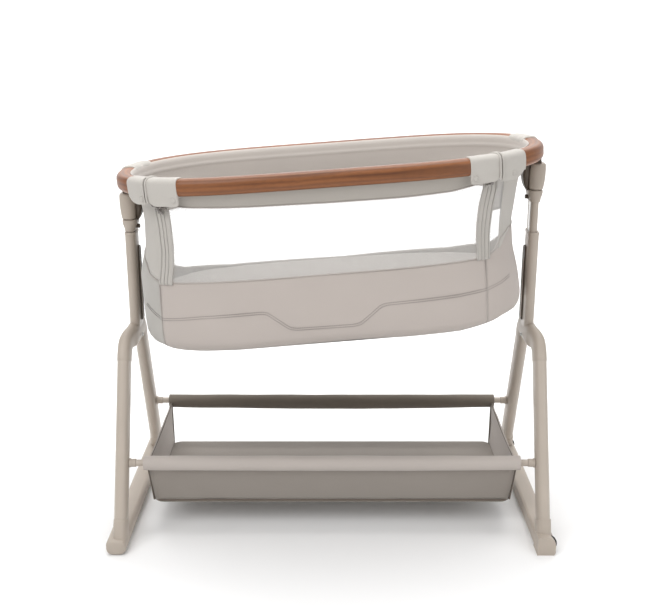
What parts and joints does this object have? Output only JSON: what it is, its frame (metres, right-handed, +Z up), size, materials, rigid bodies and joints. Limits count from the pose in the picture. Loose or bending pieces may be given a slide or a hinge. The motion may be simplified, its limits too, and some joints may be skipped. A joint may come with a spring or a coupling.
{
  "type": "bassinet on stand",
  "caption": "Bedside bassinet: a fabric cradle with a wood-look rim and mesh sides, hung tilted between two height-adjustable posts on splayed legs, with a storage basket below.",
  "frame": {"origin": "on the floor, under the middle of the stand's footprint", "axes": "+X along the bassinet's length toward the end with the wheels, which is also the raised end; +Y toward the back, away from the folding gate; +Z up"},
  "size_m": [0.944, 0.545, 0.8321],
  "materials": {
    "beige_paint": "satin powder coat, warm beige",
    "beige_plastic": "fine-textured moulded plastic, warm beige",
    "dark_plastic": "dark taupe moulded plastic",
    "bare_steel": "plain drawn steel",
    "black_rubber": "matt black rubber",
    "wood_look_leather": "wood-look wrap, warm brown grain with a satin coat",
    "light_fabric": "light beige woven fabric",
    "panel_fabric": "beige woven fabric, lightly padded",
    "mattress_cover": "knitted mattress cover, grey beige",
    "mesh_fabric": "fine white mesh",
    "basket_fabric": "taupe woven basket fabric"
  },
  "bodies": {
    "stand": {"foot_rail_left": "beige_plastic", "foot_rail_right": "beige_plastic", "foot_pad_front": "black_rubber", "foot_pad_rear": "black_rubber", "leg_front_left": "beige_paint", "leg_front_right": "beige_paint", "leg_rear_left": "beige_paint", "leg_rear_right": "beige_paint", "crown_left": "beige_plastic", "crown_right": "beige_plastic", "post_sleeve_left": "beige_paint", "post_sleeve_right": "beige_paint", "guide_cap_left": "beige_plastic", "guide_cap_right": "beige_plastic", "post_backing_left": "dark_plastic", "post_backing_right": "dark_plastic", "basket_bar_front": "beige_paint", "basket_bar_rear": "beige_paint", "bar_connector_front_left": "beige_plastic", "bar_connector_front_right": "beige_plastic", "bar_connector_rear_left": "beige_plastic", "bar_connector_rear_right": "beige_plastic", "basket_board": "dark_plastic", "basket_fabric": "basket_fabric"},
    "front_wheel": {"wheel_front": "black_rubber"},
    "rear_wheel": {"wheel_rear": "black_rubber"},
    "left_post": {"inner_tube_left": "beige_paint", "collar_left": "beige_plastic", "head_left": "beige_plastic", "pivot_pin_left": "bare_steel"},
    "left_button": {"release_button_left": "dark_plastic"},
    "cradle": {"rim_tube": "bare_steel", "rim_trim_left": "wood_look_leather", "rim_trim_right": "wood_look_leather", "rim_trim_rear": "wood_look_leather", "wrap_front_left": "light_fabric", "wrap_front_right": "light_fabric", "wrap_rear_left": "light_fabric", "wrap_rear_right": "light_fabric", "rim_bracket_left": "dark_plastic", "rim_bracket_right": "dark_plastic", "tub_base": "panel_fabric", "end_wall_left": "light_fabric", "end_wall_right": "light_fabric", "rear_mesh": "mesh_fabric", "corner_mesh": "mesh_fabric", "base_board": "dark_plastic", "mattress": "mattress_cover"},
    "side_gate": {"gate_tube": "bare_steel", "gate_trim": "wood_look_leather", "gate_wrap_left": "light_fabric", "gate_wrap_right": "light_fabric", "gate_panel": "mesh_fabric"},
    "right_post": {"inner_tube_right": "beige_paint", "collar_right": "beige_plastic", "head_right": "beige_plastic", "pivot_pin_right": "bare_steel"},
    "right_button": {"release_button_right": "dark_plastic"}
  },
  "joints": [
    {"name": "left_lift", "type": "slide", "parent": "stand", "child": "left_post", "axis": [0, 0, 1], "range_m": [0, 0.128]},
    {"name": "left_release", "type": "slide", "parent": "left_post", "child": "left_button", "axis": [-1, 0, 0], "range_m": [0, 0.0024], "stiffness_N_per_m": 800, "springref_m": -0.002},
    {"name": "cradle_tilt", "type": "hinge", "parent": "left_post", "child": "cradle", "pos_m": [-0.4348, 0, 0.706], "axis": [0, 1, 0], "range_deg": [0, 4.21]},
    {"name": "right_swivel", "type": "hinge", "parent": "cradle", "child": "right_post", "pos_m": [0.43365, 0, 0.77], "axis": [0, 1, 0], "range_deg": [-4.21, 0]},
    {"name": "right_release", "type": "slide", "parent": "right_post", "child": "right_button", "axis": [1, 0, 0], "range_m": [0, 0.0024], "stiffness_N_per_m": 800, "springref_m": -0.002},
    {"name": "side_drop", "type": "hinge", "parent": "cradle", "child": "side_gate", "pos_m": [0.01004, -0.222, 0.59389], "axis": [0.9973, 0, 0.0735], "range_deg": [0, 170]},
    {"name": "front_wheel_spin", "type": "hinge", "parent": "stand", "child": "front_wheel", "pos_m": [0.4555, -0.2525, 0.0185], "axis": [0, 1, 0], "continuous": true},
    {"name": "rear_wheel_spin", "type": "hinge", "parent": "stand", "child": "rear_wheel", "pos_m": [0.4555, 0.2525, 0.0185], "axis": [0, 1, 0], "continuous": true}
  ],
  "couplings": [
    {"joint": "right_swivel", "follows": "cradle_tilt", "ratio": -1}
  ]
}
